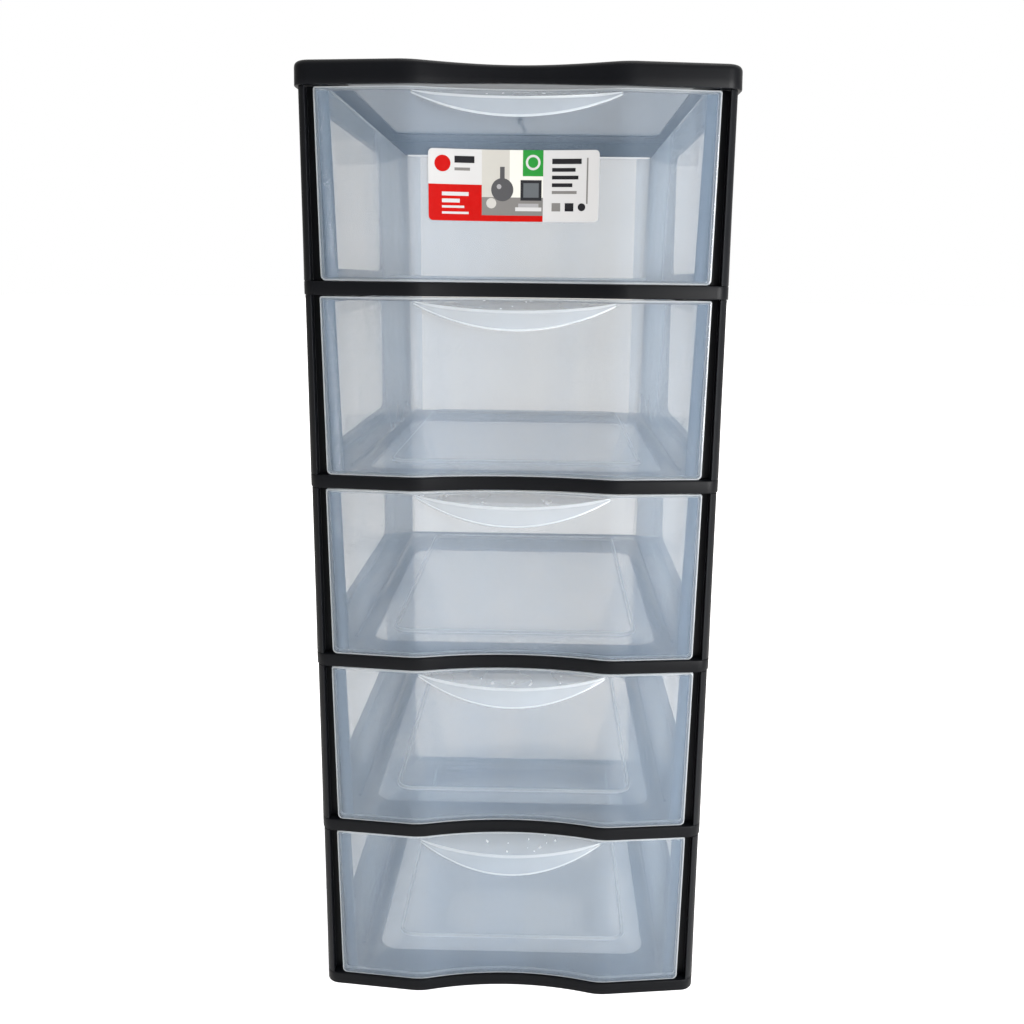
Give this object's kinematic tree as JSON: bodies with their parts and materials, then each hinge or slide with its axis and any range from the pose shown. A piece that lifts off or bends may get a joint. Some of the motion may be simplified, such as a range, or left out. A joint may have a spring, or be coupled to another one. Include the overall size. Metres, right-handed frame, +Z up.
{
  "type": "plastic drawer tower",
  "caption": "Tall plastic storage tower with a dark open-sided frame of stacked shelves and clear sliding drawers, each with a waved front and a drooping pull lip.",
  "frame": {"origin": "centre of the bounding box in plan, on the floor", "axes": "+X to the right seen from the front, -Y out of the drawer fronts, +Z up"},
  "size_m": [0.304, 0.4183, 0.706],
  "materials": {
    "frame_plastic": "satin moulded, charcoal",
    "drawer_plastic": "clear, slightly cool, glossy",
    "panel_plastic": "frosted clear",
    "label_film": "satin printed film"
  },
  "bodies": {
    "tower": {"top_frame": "frame_plastic", "top_panel": "panel_plastic", "shelf_frame_1": "frame_plastic", "side_frame_left_1": "frame_plastic", "side_frame_right_1": "frame_plastic", "shelf_frame_2": "frame_plastic", "side_frame_left_2": "frame_plastic", "side_frame_right_2": "frame_plastic", "shelf_frame_3": "frame_plastic", "side_frame_left_3": "frame_plastic", "side_frame_right_3": "frame_plastic", "shelf_frame_4": "frame_plastic", "side_frame_left_4": "frame_plastic", "side_frame_right_4": "frame_plastic", "shelf_frame_5": "frame_plastic", "side_frame_left_5": "frame_plastic", "side_frame_right_5": "frame_plastic"},
    "drawer_body_1": {"drawer_1": "drawer_plastic", "front_label": "label_film"},
    "drawer_body_2": {"drawer_2": "drawer_plastic"},
    "drawer_body_3": {"drawer_3": "drawer_plastic"},
    "drawer_body_4": {"drawer_4": "drawer_plastic"},
    "drawer_body_5": {"drawer_5": "drawer_plastic"}
  },
  "joints": [
    {"name": "drawer_slide_1", "type": "slide", "parent": "tower", "child": "drawer_body_1", "axis": [0, -1, 0], "range_m": [0, 0.3]},
    {"name": "drawer_slide_2", "type": "slide", "parent": "tower", "child": "drawer_body_2", "axis": [0, -1, 0], "range_m": [0, 0.3]},
    {"name": "drawer_slide_3", "type": "slide", "parent": "tower", "child": "drawer_body_3", "axis": [0, -1, 0], "range_m": [0, 0.3]},
    {"name": "drawer_slide_4", "type": "slide", "parent": "tower", "child": "drawer_body_4", "axis": [0, -1, 0], "range_m": [0, 0.3]},
    {"name": "drawer_slide_5", "type": "slide", "parent": "tower", "child": "drawer_body_5", "axis": [0, -1, 0], "range_m": [0, 0.3]}
  ]
}
